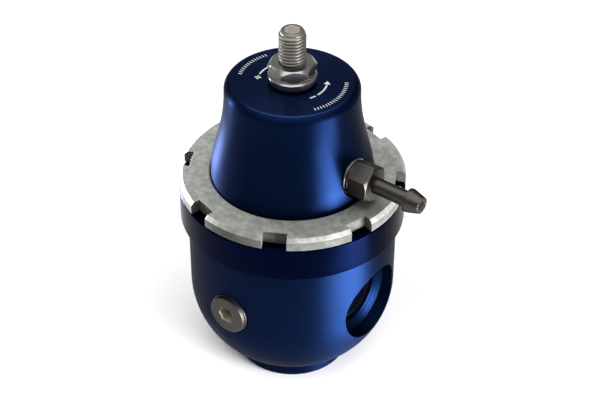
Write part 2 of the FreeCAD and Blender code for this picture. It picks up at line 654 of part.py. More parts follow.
def make_valve():
    """Parts that ride on the diaphragm: lower plate with ball socket, spring cup, nut, ball."""
    holder = new_body("valve_holder")
    socket = "(Sizes.ball_radius + 2 * Sizes.running_clearance)"
    clip_level = f"(-{BALL_DROP} - Sizes.clip_drop)"
    clip_gap = "(Sizes.clip_wire_radius + Sizes.running_clearance)"
    hub_end = f"({clip_level} - {clip_gap} - Sizes.hub_lip)"
    clip_reach = "(Sizes.ball_radius + Sizes.clip_wire_radius + Sizes.running_clearance)"
    clip_radius = f"sqrt({clip_reach}^2 - Sizes.clip_drop^2)"
    groove_radius = f"({clip_radius} + {clip_gap})"
    stem_top = (
        "(Sizes.diaphragm_thickness + Sizes.cup_thickness"
        " + Sizes.stem_nut_height + Sizes.stem_end)"
    )
    turn(holder, "plate_and_hub", [
        ("0", "-Sizes.socket_roof"),
        (socket, "-Sizes.socket_roof"),
        (socket, f"{clip_level} + {clip_gap}"),
        (groove_radius, f"{clip_level} + {clip_gap}"),
        (groove_radius, f"{clip_level} - {clip_gap}"),
        (socket, f"{clip_level} - {clip_gap}"),
        (socket, hub_end),
        ("Sizes.hub_radius", hub_end),
        ("Sizes.hub_radius", "-Sizes.plate_thickness"),
        (f"{PLATE_RADIUS} - Sizes.plate_edge", "-Sizes.plate_thickness"),
        (PLATE_RADIUS, "Sizes.plate_edge - Sizes.plate_thickness", "Sizes.plate_edge", 1),
        (PLATE_RADIUS, "0"),
        ("Sizes.stem_radius", "0"),
        ("Sizes.stem_radius", stem_top),
        ("0", stem_top),
    ])
    place(holder, LEDGE)

    cup = new_body("spring_cup")
    turn(cup, "pressing", [
        (STEM_HOLE, "0"),
        (f"{PLATE_RADIUS} - Sizes.plate_edge", "0"),
        (PLATE_RADIUS, "Sizes.plate_edge", "Sizes.plate_edge", 1),
        (PLATE_RADIUS, "Sizes.cup_rim_height"),
        (CUP_INSIDE, "Sizes.cup_rim_height"),
        (CUP_INSIDE, "Sizes.cup_thickness"),
        (STEM_HOLE, "Sizes.cup_thickness"),
    ])
    place(cup, CAP_BASE)

    nut = new_body("stem_nut")
    sides = hexagon(nut, "hexagon_outline", "Sizes.stem_nut_flats")
    pad(nut, "hexagon", sides, "Sizes.stem_nut_height")
    hole = circles(nut, "bore_circle", "XY_Plane", STEM_HOLE, [("0", "0")])
    pocket(nut, "bore", hole, "Sizes.stem_nut_height", along_normal=True)
    place(nut, CUP_TOP)

    ball = doc.addObject("Part::Sphere", "valve_ball")
    ball.Label = "valve_ball"
    ball.setExpression("Radius", "Sizes.ball_radius")
    ball.setExpression("Placement.Base.z", BALL_CENTRE)
    pieces.append(ball)

    clip = torus("ball_clip", clip_radius, "Sizes.clip_wire_radius", "360 - Sizes.clip_opening")
    clip.setExpression("Placement.Base.z", f"{BALL_CENTRE} - Sizes.clip_drop")

    spring = coil("ball_spring", "Sizes.ball_spring_radius", "Sizes.ball_spring_wire_radius",
                  "Sizes.ball_spring_length", "Sizes.ball_spring_turns")
    place(spring, f"{LEDGE} - Sizes.socket_roof - Sizes.ball_spring_length")


def make_seat():
    """Screwed-in valve seat with hexagon and thin nose, and the O-ring under it."""
    seat = new_body("valve_seat")
    apex_gap = "(Sizes.ball_radius + Sizes.running_clearance) / sin(45)"
    cone_start = f"({BALL_CENTRE} - {apex_gap} + Sizes.orifice_radius - {WELL_FLOOR})"
    nose_top = f"({cone_start} + Sizes.seat_nose_rim)"
    nose_radius = "(Sizes.orifice_radius + Sizes.seat_nose_wall)"
    sides = hexagon(seat, "hexagon_outline", "Sizes.seat_hex_flats")
    pad(seat, "hexagon", sides, "Sizes.seat_hex_height")
    turn(seat, "post_and_thread", [
        ("Sizes.orifice_radius", "-Sizes.seat_thread_length"),
        ("Sizes.seat_thread_radius - Sizes.thread_chamfer", "-Sizes.seat_thread_length"),
        ("Sizes.seat_thread_radius", "Sizes.thread_chamfer - Sizes.seat_thread_length"),
        ("Sizes.seat_thread_radius", "Sizes.seat_hex_height"),
        ("Sizes.seat_post_radius", "Sizes.seat_hex_height"),
        ("Sizes.seat_post_radius", f"{nose_top} - Sizes.seat_nose_height"),
        (nose_radius, f"{nose_top} - Sizes.seat_nose_height"),
        (nose_radius, nose_top),
        ("Sizes.orifice_radius + Sizes.seat_nose_rim", nose_top),
        ("Sizes.orifice_radius", cone_start),
    ])
    hole = circles(seat, "orifice_circle", "XY_Plane", "Sizes.orifice_radius", [("0", "0")])
    pocket(seat, "orifice", hole, "Sizes.seat_hex_height", along_normal=True)
    place(seat, WELL_FLOOR)

    ring = torus("seat_o_ring", SEAT_RING_RADIUS, "Sizes.seat_ring_wire_radius")
    ring.setExpression(
        "Placement.Base.z",
        f"{WELL_FLOOR} - Sizes.seat_ring_wire_radius - Sizes.seal_clearance / 2",
    )


def make_spring_and_perch():
    """Main spring between the cup on the diaphragm and the perch under the adjuster."""
    spring = coil("main_spring", "Sizes.spring_radius", "Sizes.spring_wire_radius",
                  f"({PERCH_TOP} - Sizes.perch_thickness - {CUP_TOP})", "Sizes.spring_turns")
    place(spring, CUP_TOP)

    perch = new_body("spring_perch")
    radius = f"({SPRING_BORE} - Sizes.perch_side_gap)"
    hub_radius = (
        "(Sizes.spring_radius - Sizes.spring_wire_radius - Sizes.spring_side_gap)"
    )
    underside = f"({TIP_DEPTH} - Sizes.perch_thickness)"
    gap = "Sizes.running_clearance"
    dimple_radius = f"(Sizes.screw_tip_radius + {gap} / sin(45) - {gap})"
    turn(perch, "turned_perch", [
        ("0", f"-{gap}"),
        (dimple_radius, f"-{gap}"),
        (f"{dimple_radius} + {gap} + {TIP_DEPTH}", TIP_DEPTH),
        (f"{radius} - Sizes.perch_edge", TIP_DEPTH),
        (radius, f"{TIP_DEPTH} - Sizes.perch_edge"),
        (radius, underside),
        (hub_radius, underside),
        (hub_radius, f"{underside} + Sizes.perch_edge - Sizes.perch_hub_length"),
        (f"{hub_radius} - Sizes.perch_edge", f"{underside} - Sizes.perch_hub_length"),
        ("0", f"{underside} - Sizes.perch_hub_length"),
    ])
    place(perch, SCREW_TIP)


def make_adjuster():
    """Adjusting set screw with cone point and hexagon socket, its lock nut and seal."""
    screw = new_body("adjuster_screw")
    length = "Sizes.screw_length"
    turn(screw, "rod", [
        ("0", "0"),
        ("Sizes.screw_tip_radius", "0"),
        ("Sizes.screw_radius", "Sizes.screw_radius - Sizes.screw_tip_radius"),
        ("Sizes.screw_radius", f"{length} - Sizes.screw_edge"),
        ("Sizes.screw_radius - Sizes.screw_edge", length),
        ("0", length),
    ])
    socket = hexagon(screw, "socket_outline", "Sizes.screw_socket_flats", out=length)
    pocket(screw, "socket", socket, "Sizes.screw_socket_depth")
    place(screw, SCREW_TIP, angle="Sizes.screw_turn")

    nut = new_body("lock_nut")
    collar = "Sizes.nut_collar_height"
    height = "Sizes.nut_height"
    corner = "(Sizes.nut_flats / sqrt(3))"
    beyond = f"({corner} + Sizes.cut_margin)"
    waist_slope = f"((Sizes.nut_corner_height - {collar}) / ({corner} - Sizes.nut_waist_radius))"
    sides = hexagon(nut, "hexagon_outline", "Sizes.nut_flats", out=collar)
    pad(nut, "hexagon", sides, f"{height} - {collar}")
    turn(nut, "top_chamfer", [
        ("Sizes.nut_top_radius", height),
        (beyond, f"{height} - ({beyond} - Sizes.nut_top_radius)"),
        (beyond, height),
    ], kind="Groove")
    turn(nut, "waist_chamfer", [
        ("Sizes.nut_waist_radius", collar),
        (beyond, collar),
        (beyond, f"{collar} + ({beyond} - Sizes.nut_waist_radius) * {waist_slope}"),
    ], kind="Groove")
    turn(nut, "collar", [
        (SCREW_HOLE, "0"),
        ("Sizes.nut_collar_radius - Sizes.nut_collar_edge", "0"),
        ("Sizes.nut_collar_radius", "Sizes.nut_collar_edge"),
        ("Sizes.nut_collar_radius", f"{collar} - Sizes.nut_collar_edge"),
        ("Sizes.nut_collar_radius - Sizes.nut_collar_edge", collar),
        (SCREW_HOLE, collar),
    ])
    bore = circles(nut, "bore_circle", "XY_Plane", SCREW_HOLE, [("0", "0")])
    pocket(nut, "bore", bore, height, along_normal=True)
    place(nut, NUT_BASE, angle="Sizes.nut_turn")

    seal = washer("nut_seal", SCREW_HOLE, "Sizes.nut_collar_radius - Sizes.nut_seal_step",
                  "Sizes.nut_seal_thickness")
    place(seal, CAP_TOP)


def make_hose_barb():
    """Screw-in barb with collar and hexagon, for the manifold pressure hose, and its washer."""
    barb = new_body("hose_barb")
    collar = "Sizes.barb_collar_height"
    edge = "Sizes.collar_edge"
    hex_end = f"({collar} + Sizes.barb_hex_height)"
    corner = "(Sizes.barb_hex_flats / sqrt(3))"
    flat = "(Sizes.barb_hex_flats / 2)"
    beyond = f"({corner} + Sizes.cut_margin)"
    sides = hexagon(barb, "hexagon_outline", "Sizes.barb_hex_flats", out=collar)
    pad(barb, "hexagon", sides, "Sizes.barb_hex_height")
    turn(barb, "hexagon_chamfer", [
        (f"{flat} - {edge}", hex_end),
        (beyond, f"{hex_end} - ({beyond} - {flat} + {edge}) * tan(35)"),
        (beyond, hex_end),
    ], kind="Groove")
    thread_end = "(-Sizes.barb_seal_thickness - Sizes.barb_thread_length)"
    crest = "(Sizes.barb_crest_position - Sizes.barb_seal_thickness)"
    tip = "(Sizes.barb_length - Sizes.barb_seal_thickness)"
    turn(barb, "turned_barb", [
        ("Sizes.barb_hole_radius", thread_end),
        ("Sizes.barb_thread_radius - Sizes.thread_chamfer", thread_end),
        ("Sizes.barb_thread_radius", f"{thread_end} + Sizes.thread_chamfer"),
        ("Sizes.barb_thread_radius", "0"),
        (f"Sizes.barb_collar_radius - {edge}", "0"),
        ("Sizes.barb_collar_radius", edge),
        ("Sizes.barb_collar_radius", f"{collar} - {edge}"),
        (f"Sizes.barb_collar_radius - {edge}", collar),
        ("Sizes.barb_shank_radius", collar),
        ("Sizes.barb_shank_radius", crest),
        ("Sizes.barb_crest_radius", crest),
        ("Sizes.barb_crest_radius", f"{crest} + Sizes.barb_crest_land"),
        ("Sizes.barb_tip_radius", tip),
        ("Sizes.barb_hole_radius", tip),
    ])
    hole = circles(barb, "hole_circle", "XY_Plane", "Sizes.barb_hole_radius", [("0", "0")])
    pocket(barb, "hole", hole, "Sizes.barb_length", along_normal=True)
    place(barb, BARB_HEIGHT, f"{BARB_FACE} + Sizes.barb_seal_thickness", axis="X")

    seal = washer("barb_seal", BARB_HOLE, BARB_SEAL_RADIUS, "Sizes.barb_seal_thickness")
    place(seal, BARB_HEIGHT, BARB_FACE, axis="X")


def make_gauge_plug():
    """Blanking plug in the gauge port, with hexagon socket, and its sealing washer."""
    plug = new_body("gauge_plug")
    head = "Sizes.plug_head_height"
    turn(plug, "head_and_shank", [
        ("0", "-Sizes.plug_shank_length"),
        ("Sizes.gauge_thread_radius - Sizes.thread_chamfer", "-Sizes.plug_shank_length"),
        ("Sizes.gauge_thread_radius", "Sizes.thread_chamfer - Sizes.plug_shank_length"),
        ("Sizes.gauge_thread_radius", "0"),
        ("Sizes.plug_head_radius", "0"),
        ("Sizes.plug_head_radius", f"{head} - Sizes.plug_edge"),
        ("Sizes.plug_head_radius - Sizes.plug_edge", head, "Sizes.plug_edge", 1),
        ("0", head),
    ])
    socket = hexagon(plug, "socket_outline", "Sizes.plug_socket_flats", out=head)
    pocket(plug, "socket", socket, "Sizes.plug_socket_depth")
    place(plug, GAUGE_HEIGHT, f"{GAUGE_FACE} + Sizes.gauge_seal_thickness", axis="-Y")

    seal = washer("gauge_seal", GAUGE_HOLE, GAUGE_SEAL_RADIUS, "Sizes.gauge_seal_thickness")
    place(seal, GAUGE_HEIGHT, GAUGE_FACE, axis="-Y")


def check_and_export():
    """Stop on a failed or empty solid, then write one file for each piece."""
    doc.recompute()
    for item in doc.Objects:
        if "Invalid" in item.State or "Error" in item.State:
            raise RuntimeError(f"{item.Label} failed: {item.State}")
    os.makedirs("parts", exist_ok=True)
    for piece in pieces:
        if piece.Shape.isNull() or not piece.Shape.isValid() or not piece.Shape.Solids:
            raise RuntimeError(f"{piece.Label} has no valid solid")
    for piece in pieces:
        piece.Shape.exportStep(os.path.join("parts", f"{piece.Label}.step"))


make_body()
make_lock_ring()
make_cap()
make_diaphragm()
make_valve()
make_seat()
make_spring_and_perch()
make_adjuster()
make_hose_barb()
make_gauge_plug()
check_and_export()
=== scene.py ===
import math

import bmesh
import bpy
from mathutils import Matrix, Vector


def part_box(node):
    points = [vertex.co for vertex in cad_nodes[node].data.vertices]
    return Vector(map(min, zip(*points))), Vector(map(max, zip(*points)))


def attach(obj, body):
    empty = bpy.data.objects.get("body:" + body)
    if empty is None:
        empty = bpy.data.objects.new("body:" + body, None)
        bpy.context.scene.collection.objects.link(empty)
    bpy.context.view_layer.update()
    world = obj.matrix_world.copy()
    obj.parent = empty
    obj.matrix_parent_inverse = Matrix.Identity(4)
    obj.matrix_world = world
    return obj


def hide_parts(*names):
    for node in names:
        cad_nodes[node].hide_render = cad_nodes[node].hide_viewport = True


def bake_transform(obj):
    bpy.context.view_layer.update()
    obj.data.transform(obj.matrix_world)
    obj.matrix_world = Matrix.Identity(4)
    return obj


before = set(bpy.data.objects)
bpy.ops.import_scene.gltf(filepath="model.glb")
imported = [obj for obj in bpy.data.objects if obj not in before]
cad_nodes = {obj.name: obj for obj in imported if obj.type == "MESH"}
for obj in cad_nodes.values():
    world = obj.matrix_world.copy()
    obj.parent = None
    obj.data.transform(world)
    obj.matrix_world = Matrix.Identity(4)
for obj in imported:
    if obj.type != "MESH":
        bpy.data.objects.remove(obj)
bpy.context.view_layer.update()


# The camera looks down on the regulator from between the hose barb and the gauge plug,
# through a long lens.

camera_azimuth = math.radians(-53.0)
camera_distance, camera_height = 0.37673, 0.3512
camera_dip = 37.98

camera = bpy.data.objects.new("camera", bpy.data.cameras.new("camera"))
bpy.context.scene.collection.objects.link(camera)
camera.location = (camera_distance * math.cos(camera_azimuth),
                   camera_distance * math.sin(camera_azimuth), camera_height)
camera.rotation_euler = (math.radians(90 - camera_dip), 0, camera_azimuth + math.pi / 2)
camera.data.lens = 94.4
camera.data.sensor_width = 36.0
camera.data.shift_x = 0.0127
camera.data.clip_start = 0.01
bpy.context.scene.camera = camera


# The studio: a pale matt floor under a large soft box, an even dim room, and three small
# soft boxes close by: two draw the highlights on the turned metal, one lights the screw.

bpy.context.scene.view_settings.view_transform = "Standard"


def new_material(name):
    """A material that holds only its shader and its output so far."""
    material = bpy.data.materials.new(name)
    material.use_nodes = True
    tree = material.node_tree
    tree.nodes.clear()
    shader = tree.nodes.new("ShaderNodeBsdfPrincipled")
    output = tree.nodes.new("ShaderNodeOutputMaterial")
    tree.links.new(shader.outputs["BSDF"], output.inputs["Surface"])
    return material, tree, shader


def feed(made, inputs):
    """Set a node's inputs; each is given a value or the socket that feeds it."""
    for name, value in inputs.items():
        if isinstance(value, bpy.types.NodeSocket):
            made.id_data.links.new(value, made.inputs[name])
        else:
            made.inputs[name].default_value = value


paper, _, shader = new_material("white_paper")
feed(shader, {"Base Color": (0.92, 0.92, 0.92, 1), "Roughness": 0.95,
              "Specular IOR Level": 0.0})
floor_reach = 6.0
floor_mesh = bpy.data.meshes.new("studio_floor")
floor_mesh.from_pydata(
    [(-floor_reach, -floor_reach, 0), (floor_reach, -floor_reach, 0),
     (floor_reach, floor_reach, 0), (-floor_reach, floor_reach, 0)],
    [], [(0, 1, 2, 3)])
floor_mesh.materials.append(paper)
floor = bpy.data.objects.new("studio_floor", floor_mesh)
bpy.context.scene.collection.objects.link(floor)

room = bpy.data.worlds.new("studio_room")
room.use_nodes = True
feed(room.node_tree.nodes["Background"], {"Color": (1, 1, 1, 1), "Strength": 0.3})
bpy.context.scene.world = room


def soft_box(name, azimuth, distance, height, size, power, spread, tilt=0, aside=0):
    """A rectangular soft box out of the picture, aimed at the axis or some degrees aside."""
    light = bpy.data.lights.new(name, "AREA")
    light.shape = "RECTANGLE"
    light.size, light.size_y = size
    light.energy = power
    light.spread = math.radians(spread)
    lamp = bpy.data.objects.new(name, light)
    bpy.context.scene.collection.objects.link(lamp)
    around = math.radians(azimuth)
    lamp.location = (distance * math.cos(around), distance * math.sin(around), height)
    lamp.rotation_euler = (math.radians(90 - tilt), 0, around + math.radians(90 + aside))
    lamp.visible_camera = False


soft_box("right_box", azimuth=-6, distance=0.125, height=0.03, size=(0.085, 0.06),
         power=0.245, spread=64, tilt=-4, aside=14)
soft_box("left_box", azimuth=180, distance=0.15, height=0.072, size=(0.09, 0.012),
         power=0.06, spread=18)
soft_box("screw_box", azimuth=195, distance=0.12, height=0.085, size=(0.04, 0.03),
         power=0.008, spread=16, tilt=-13)
soft_box("top_box", azimuth=-53, distance=0.05, height=2.0, size=(2.8, 2.8),
         power=64, spread=180, tilt=90)


# The bowl is turned from aluminium bar and anodised blue. Its finish is a dyed oxide layer
# over the fine rings that the lathe tool leaves. Its edges are painted paler, partly as wear
# where an edge was broken and partly as a painted highlight.

def new_group(name, family, inputs, outputs):
    """A node group, its two end nodes, and its named sockets, some with a value."""
    group = bpy.data.node_groups.new(name, family)
    for label, kind, *value in inputs:
        socket = group.interface.new_socket(label, in_out="INPUT",
                                            socket_type="NodeSocket" + kind)
        if value:
            socket.default_value = value[0]
    for label, kind in outputs:
        group.interface.new_socket(label, in_out="OUTPUT", socket_type="NodeSocket" + kind)
    return group, group.nodes.new("NodeGroupInput"), group.nodes.new("NodeGroupOutput")


def node(tree, kind, inputs=None, **settings):
    """A new node with its settings and its inputs."""
    made = tree.nodes.new(kind)
    for name, value in settings.items():
        setattr(made, name, value)
    feed(made, inputs or {})
    return made


def maths(tree, operation, *values):
    """The socket that gives the outcome of a sum on numbers or sockets."""
    return node(tree, "ShaderNodeMath", dict(enumerate(values)), operation=operation).outputs[0]


# Lathe rings round the Z axis of the vector: fine grooves, with slow bands under them
lathe_rings, entry, leave = new_group(
    "lathe_rings", "ShaderNodeTree",
    [("Vector", "Vector"), ("Spacing", "Float", 0.00025), ("Bands", "Float", 0.002)],
    [("Height", "Float"), ("Band", "Float")])
ring_wander = 0.03
split = node(lathe_rings, "ShaderNodeSeparateXYZ", {0: entry.outputs["Vector"]})
flat = node(lathe_rings, "ShaderNodeCombineXYZ", {0: split.outputs[0], 1: split.outputs[1]})
radius = node(lathe_rings, "ShaderNodeVectorMath", {0: flat.outputs[0]}, operation="LENGTH")
drift = maths(lathe_rings, "MULTIPLY", split.outputs[0], ring_wander)
profile = node(lathe_rings, "ShaderNodeCombineXYZ",
               {0: radius.outputs["Value"], 1: split.outputs[2], 2: drift})
for width, target, detail in (("Spacing", "Height", 2.0), ("Bands", "Band", 1.0)):
    fine = maths(lathe_rings, "DIVIDE", 1.0, entry.outputs[width])
    rings = node(lathe_rings, "ShaderNodeTexNoise",
                 {"Vector": profile.outputs[0], "Scale": fine, "Detail": detail})
    feed(leave, {target: rings.outputs["Fac"]})

# Edges: a slightly rounded normal, and a mask of where two faces meet
soft_edge, entry, leave = new_group(
    "soft_edge", "ShaderNodeTree", [("Radius", "Float", 0.0002)],
    [("Normal", "Vector"), ("Edge", "Float")])
rounded = node(soft_edge, "ShaderNodeBevel", {"Radius": entry.outputs["Radius"]}, samples=4)
face = node(soft_edge, "ShaderNodeNewGeometry")
match = node(soft_edge, "ShaderNodeVectorMath",
             {0: rounded.outputs["Normal"], 1: face.outputs["Normal"]}, operation="DOT_PRODUCT")
mask = node(soft_edge, "ShaderNodeMapRange",
            {"Value": match.outputs["Value"], "From Min": 0.99, "From Max": 0.8})
feed(leave, {"Normal": rounded.outputs["Normal"], "Edge": mask.outputs[0]})

# Handling: slow cloudy patches, where a surface is a little duller or cleaner
handling, entry, leave = new_group(
    "handling", "ShaderNodeTree", [("Vector", "Vector"), ("Size", "Float", 0.008)],
    [("Patch", "Float")])
scale = maths(handling, "DIVIDE", 1.0, entry.outputs["Size"])
cloud = node(handling, "ShaderNodeTexNoise",
             {"Vector": entry.outputs["Vector"], "Scale": scale, "Detail": 4.0,
              "Roughness": 0.6})
patch = node(handling, "ShaderNodeMapRange",
             {"Value": cloud.outputs["Fac"], "From Min": 0.35, "From Max": 0.65})
feed(leave, {"Patch": patch.outputs[0]})

# A hole along the Z axis of the vector, below a level
hole_mask, entry, leave = new_group(
    "hole_mask", "ShaderNodeTree",
    [("Vector", "Vector"), ("Radius", "Float", 0.002), ("Level", "Float", 0.0)],
    [("Hole", "Float")])
split = node(hole_mask, "ShaderNodeSeparateXYZ", {0: entry.outputs["Vector"]})
flat = node(hole_mask, "ShaderNodeCombineXYZ", {0: split.outputs[0], 1: split.outputs[1]})
radius = node(hole_mask, "ShaderNodeVectorMath", {0: flat.outputs[0]}, operation="LENGTH")
within = maths(hole_mask, "LESS_THAN", radius.outputs["Value"], entry.outputs["Radius"])
below = maths(hole_mask, "LESS_THAN", split.outputs[2], entry.outputs["Level"])
feed(leave, {"Hole": maths(hole_mask, "MULTIPLY", within, below)})


def turned_metal(name, colour, edge_wear_and_highlight, roughness, turn=(0, 0, 0), middle=(0, 0, 0),
                 spacing=0.00025, groove=0.000004, duller=0.08, edge_radius=0.00015,
                 edge_share=0.5, tint=None, recess=None):
    """A lathe-turned metal; turn and middle bring the piece's own axis on to Z.

    A recess is a hole painted paler, as dust and as painted light that reaches into it: its
    radius, how high its mouth is, and the colour painted in it.
    A tint darkens what the metal mirrors at a low angle. Edges take a paler colour: partly
    wear, partly a painted highlight.
    """
    fill_line, fill_metallic, fill_roughness = 0.00005, 0.15, 0.35
    material, tree, shader = new_material(name)
    place = node(tree, "ShaderNodeTexCoord").outputs["Object"]
    own = node(tree, "ShaderNodeMapping",
               {"Vector": place, "Location": middle, "Rotation": turn}).outputs[0]
    rings = node(tree, "ShaderNodeGroup", {"Vector": own, "Spacing": spacing},
                 node_tree=lathe_rings)
    edges = node(tree, "ShaderNodeGroup", {"Radius": edge_radius}, node_tree=soft_edge)
    hands = node(tree, "ShaderNodeGroup", {"Vector": place}, node_tree=handling)
    share = maths(tree, "MULTIPLY", edges.outputs["Edge"], edge_share)
    # Edges are painted paler: partly wear, partly a painted highlight
    paint = node(tree, "ShaderNodeMix",
                 {"Factor": share, "A": (*colour, 1), "B": (*edge_wear_and_highlight, 1)},
                 data_type="RGBA").outputs["Result"]
    shine = node(tree, "ShaderNodeMapRange",
                 {"Value": hands.outputs["Patch"], "To Min": roughness,
                  "To Max": roughness + duller})
    streak = maths(tree, "MULTIPLY_ADD", rings.outputs["Band"], duller, shine.outputs[0])
    bump = node(tree, "ShaderNodeBump",
                {"Height": rings.outputs["Height"], "Normal": edges.outputs["Normal"],
                 "Distance": groove})
    feed(shader, {"Base Color": paint, "Roughness": streak, "Normal": bump.outputs[0],
                  "Metallic": 1.0})
    # The hole is painted paler: dust, and painted light where the hole lies in shade
    if recess:
        hollow = node(tree, "ShaderNodeGroup",
                      {"Vector": own, "Radius": recess["radius"],
                       "Level": recess["mouth"] - fill_line},
                      node_tree=hole_mask).outputs["Hole"]
        dusted_and_lit = node(tree, "ShaderNodeMix",
                      {"Factor": hollow, "A": paint, "B": (*recess["dust_and_painted_light"], 1)},
                      data_type="RGBA")
        bare = node(tree, "ShaderNodeMapRange",
                    {"Value": hollow, "To Min": 1.0, "To Max": fill_metallic})
        rough = maths(tree, "MULTIPLY_ADD", hollow, fill_roughness, streak)
        feed(shader, {"Base Color": dusted_and_lit.outputs["Result"], "Metallic": bare.outputs[0],
                      "Roughness": rough})
    if tint:
        feed(shader, {"Specular Tint": (*tint, 1)})
    return material


blue = turned_metal(
    "blue_anodised_aluminium", colour=(0.0024, 0.0076, 0.030),
    edge_wear_and_highlight=(0.010, 0.030, 0.11), roughness=0.38, tint=(0.585, 0.58, 0.57),
    duller=0.05, groove=0.000003)
tree = blue.node_tree
shader = tree.nodes["Principled BSDF"]

# The tool marks stretch the highlights across them. They run round the main axis, and in
# the side ports round the ports' axis
feed(shader, {"Anisotropic": 0.76, "Anisotropic Rotation": 0.25})
port_level = 0.0324
port_mouth = 0.01235
bowl_heart = 0.012
place = node(tree, "ShaderNodeTexCoord").outputs["Object"]
own = node(tree, "ShaderNodeSeparateXYZ", {0: place})
above_port = maths(tree, "SUBTRACT", own.outputs[2], port_level)
off_port = node(tree, "ShaderNodeCombineXYZ", {1: own.outputs[1], 2: above_port}).outputs[0]
from_port = node(tree, "ShaderNodeVectorMath", {0: off_port}, operation="LENGTH")
near_port = maths(tree, "LESS_THAN", from_port.outputs["Value"], port_mouth)
from_middle = maths(tree, "ABSOLUTE", own.outputs[0])
far_out = maths(tree, "GREATER_THAN", from_middle, bowl_heart)
in_port = maths(tree, "MULTIPLY", near_port, far_out)
port_marks = node(tree, "ShaderNodeVectorMath", {0: (1, 0, 0), 1: off_port},
                  operation="CROSS_PRODUCT")
main_marks = node(tree, "ShaderNodeVectorMath", {0: (0, 0, 1), 1: place},
                  operation="CROSS_PRODUCT")
marks = node(tree, "ShaderNodeMix",
             {"Factor": in_port, "A": main_marks.outputs[0], "B": port_marks.outputs[0]},
             data_type="VECTOR")
feed(shader, {"Tangent": marks.outputs["Result"]})

# The flange and the cap's flat top had a finer last pass. The flange's colour is darkened as
# painted shade, and the top's is lightened as painted light
flange_foot, flange_head, top_level = 0.0541, 0.0653, 0.1003
flange_painted_shade, top_painted_light = (0.24, 0.29, 0.44), (5.5, 3.8, 3.4)
last_pass = -0.2
dyed = shader.inputs["Base Color"].links[0].from_socket
coarse = shader.inputs["Roughness"].links[0].from_socket
over_foot = maths(tree, "GREATER_THAN", own.outputs[2], flange_foot)
under_head = maths(tree, "LESS_THAN", own.outputs[2], flange_head)
on_flange = maths(tree, "MULTIPLY", over_foot, under_head)
on_top = maths(tree, "GREATER_THAN", own.outputs[2], top_level)
flange_shaded = node(tree, "ShaderNodeMix",
                  {"Factor": on_flange, "A": (1, 1, 1), "B": flange_painted_shade}, data_type="VECTOR")
top_lit = node(tree, "ShaderNodeMix",
                   {"Factor": on_top, "A": flange_shaded.outputs["Result"], "B": top_painted_light},
                   data_type="VECTOR")
# Painted shade on the flange and painted light on the cap's top
painted_shade_and_light = node(tree, "ShaderNodeVectorMath", {0: dyed, 1: top_lit.outputs["Result"]},
                  operation="MULTIPLY")
faced_off = maths(tree, "MAXIMUM", on_flange, on_top)
finer = maths(tree, "MULTIPLY_ADD", faced_off, last_pass, coarse)
feed(shader, {"Base Color": painted_shade_and_light.outputs[0], "Roughness": finer})


def dress(name, material):
    """Give a carried-over CAD node its finish."""
    mesh = cad_nodes[name].data
    mesh.materials.clear()
    mesh.materials.append(material)


dress("body", blue)


def end_growth(tree, entry, leave, shape):
    """End a geometry tree: its instances made real, and its finish given."""
    real = node(tree, "GeometryNodeRealizeInstances", {0: shape.outputs[0]})
    coat = node(tree, "GeometryNodeSetMaterial",
                {"Geometry": real.outputs[0], "Material": entry.outputs["Finish"]})
    feed(leave, {0: coat.outputs[0]})


# The ports are tapped before the bowl is dyed. Their thread crests are painted pale as a
# painted highlight.
# A thread ridge is a trapezoid swept along a right-handed helix, sunk away at both ends
thread_ridge, entry, leave = new_group(
    "thread_ridge", "GeometryNodeTree",
    [("Root Radius", "Float"), ("Depth", "Float"), ("Pitch", "Float"), ("Turns", "Float"),
     ("Root Width", "Float"), ("Crest Width", "Float"), ("Run Out", "Float"),
     ("Finish", "Material")],
    [("Thread", "Geometry")])
points_per_turn = 96
smallest_share = 0.02
rise = maths(thread_ridge, "MULTIPLY", entry.outputs["Pitch"], entry.outputs["Turns"])
helix = node(thread_ridge, "GeometryNodeCurveSpiral",
             {"Resolution": points_per_turn, "Rotations": entry.outputs["Turns"],
              "Start Radius": entry.outputs["Root Radius"],
              "End Radius": entry.outputs["Root Radius"], "Height": rise, "Reverse": True})
upright = node(thread_ridge, "GeometryNodeSetCurveNormal", {"Curve": helix.outputs[0]},
               mode="Z_UP")
tooth = node(thread_ridge, "GeometryNodeCurvePrimitiveQuadrilateral",
             {"Bottom Width": entry.outputs["Root Width"],
              "Top Width": entry.outputs["Crest Width"],
              "Height": entry.outputs["Depth"], "Offset": 0.0}, mode="TRAPEZOID")
half = maths(thread_ridge, "MULTIPLY", entry.outputs["Depth"], 0.5)
seat_line = node(thread_ridge, "ShaderNodeCombineXYZ", {0: half})
outward = node(thread_ridge, "GeometryNodeTransform",
               {"Geometry": tooth.outputs[0], "Translation": seat_line.outputs[0],
                "Rotation": (0, 0, -math.pi / 2)})
along = node(thread_ridge, "GeometryNodeSplineParameter").outputs["Factor"]
back = maths(thread_ridge, "SUBTRACT", 1.0, along)
nearer = maths(thread_ridge, "MINIMUM", along, back)
turns_in = maths(thread_ridge, "MULTIPLY", nearer, entry.outputs["Turns"])
sink = maths(thread_ridge, "DIVIDE", turns_in, entry.outputs["Run Out"])
size = node(thread_ridge, "ShaderNodeClamp",
            {"Value": sink, "Min": smallest_share, "Max": 1.0})
sweep = node(thread_ridge, "GeometryNodeCurveToMesh",
             {"Curve": upright.outputs[0], "Profile Curve": outward.outputs[0],
              "Scale": size.outputs[0], "Fill Caps": True})
end_growth(thread_ridge, entry, leave, sweep)


def solid_object(name, mesh, sharp=30):
    """An object for a closed mesh: doubles merged, faces outwards, smooth but for edges."""
    shape = bmesh.new()
    shape.from_mesh(mesh)
    bmesh.ops.remove_doubles(shape, verts=shape.verts, dist=1e-7)
    bmesh.ops.recalc_face_normals(shape, faces=shape.faces)
    shape.to_mesh(mesh)
    shape.free()
    mesh.shade_smooth()
    mesh.set_sharp_from_angle(angle=math.radians(sharp))
    made = bpy.data.objects.new(name, mesh)
    bpy.context.scene.collection.objects.link(made)
    return made


